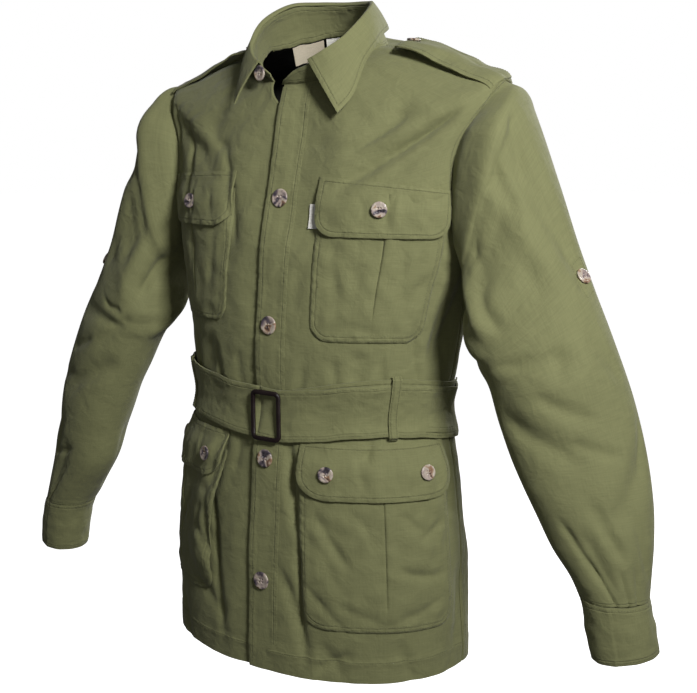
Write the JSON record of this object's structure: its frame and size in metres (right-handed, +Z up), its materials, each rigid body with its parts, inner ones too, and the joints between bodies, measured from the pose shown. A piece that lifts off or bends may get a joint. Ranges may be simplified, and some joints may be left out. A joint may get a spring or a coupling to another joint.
{
  "type": "safari jacket",
  "caption": "Olive cotton safari jacket with patch pockets and flaps, shoulder straps and a belted waist, hollow and filled out as worn, buttoned, open at neck, cuffs and hem.",
  "frame": {"origin": "middle of the neck base, level with the shoulder-neck points, where the wearer holds it up", "axes": "+X to the wearer's left, +Y to the back, +Z up"},
  "size_m": [0.839, 0.2678, 0.737],
  "materials": {
    "cloth": "olive plain-woven cotton",
    "button_horn": "mottled horn colours",
    "buckle_brown": "dark brown, smooth",
    "neck_label": "bare beige woven label",
    "white_label": "bare white woven label"
  },
  "bodies": {
    "root": {"back": "cloth", "belt": "cloth", "belt_loop_back": "cloth", "belt_loop_left": "cloth", "belt_loop_right": "cloth", "belt_tip": "cloth", "breast_bag_left": "cloth", "breast_bag_right": "cloth", "breast_flap_left": "cloth", "breast_flap_right": "cloth", "buckle": "buckle_brown", "button_breast_left": "button_horn", "button_breast_right": "button_horn", "button_epaulette_left": "button_horn", "button_epaulette_right": "button_horn", "button_front_1": "button_horn", "button_front_2": "button_horn", "button_front_3": "button_horn", "button_front_4": "button_horn", "button_lower_left_1": "button_horn", "button_lower_left_2": "button_horn", "button_lower_right_1": "button_horn", "button_lower_right_2": "button_horn", "button_sleeve_left": "button_horn", "button_sleeve_right": "button_horn", "button_stand": "button_horn", "collar_leaf": "cloth", "collar_stand": "cloth", "cuff_left": "cloth", "cuff_right": "cloth", "epaulette_left": "cloth", "epaulette_right": "cloth", "front_left": "cloth", "front_right": "cloth", "lower_bag_left": "cloth", "lower_bag_right": "cloth", "lower_flap_left": "cloth", "lower_flap_right": "cloth", "neck_label": "neck_label", "placket": "cloth", "pocket_tag": "white_label", "size_label": "white_label", "sleeve_left": "cloth", "sleeve_right": "cloth"}
  },
  "joints": []
}
